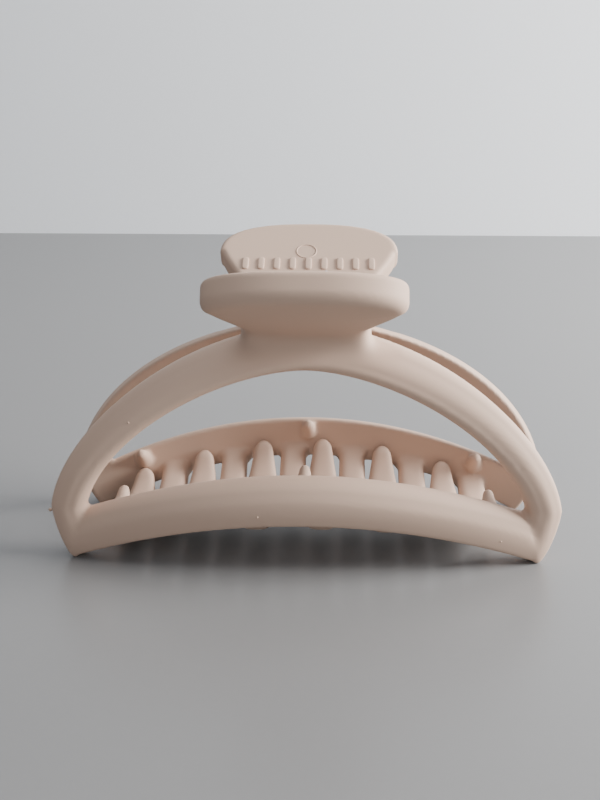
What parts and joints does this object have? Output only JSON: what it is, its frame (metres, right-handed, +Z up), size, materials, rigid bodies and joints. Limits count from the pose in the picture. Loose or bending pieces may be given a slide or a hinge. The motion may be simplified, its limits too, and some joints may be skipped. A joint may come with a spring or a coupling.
{
  "type": "claw hair clip",
  "caption": "Half-moon claw hair clip: two toothed jaws with thumb levers turn on a hinge pin and are held shut by a torsion spring.",
  "frame": {"origin": "middle of the clip's footprint on the surface it stands on, closed", "axes": "+X along the clip, parallel to the hinge pin; -Y towards the front jaw, +Y towards the rear jaw; +Z up, from the teeth to the thumb levers"},
  "size_m": [0.11, 0.0562, 0.0653],
  "materials": {
    "jaw_plastic": "matte soft-touch, nude beige",
    "pin_steel": "drawn steel wire with rounded heads",
    "spring_steel": "drawn spring wire"
  },
  "bodies": {
    "hinge": {"hinge_pin": "pin_steel", "torsion_spring": "spring_steel"},
    "front": {"front_jaw": "jaw_plastic"},
    "rear": {"rear_jaw": "jaw_plastic"}
  },
  "joints": [
    {"name": "front_squeeze", "type": "hinge", "parent": "hinge", "child": "front", "pos_m": [0, 0, 0.05], "axis": [-1, 0, 0], "range_deg": [0, 45], "stiffness_Nm_per_rad": 0.12, "springref_deg": -45.84, "deforming": ["torsion_spring"]},
    {"name": "rear_squeeze", "type": "hinge", "parent": "hinge", "child": "rear", "pos_m": [0, 0, 0.05], "axis": [1, 0, 0], "range_deg": [0, 45], "stiffness_Nm_per_rad": 0.12, "springref_deg": -45.84, "deforming": ["torsion_spring"]}
  ],
  "couplings": [
    {"joint": "rear_squeeze", "follows": "front_squeeze", "ratio": 1}
  ]
}
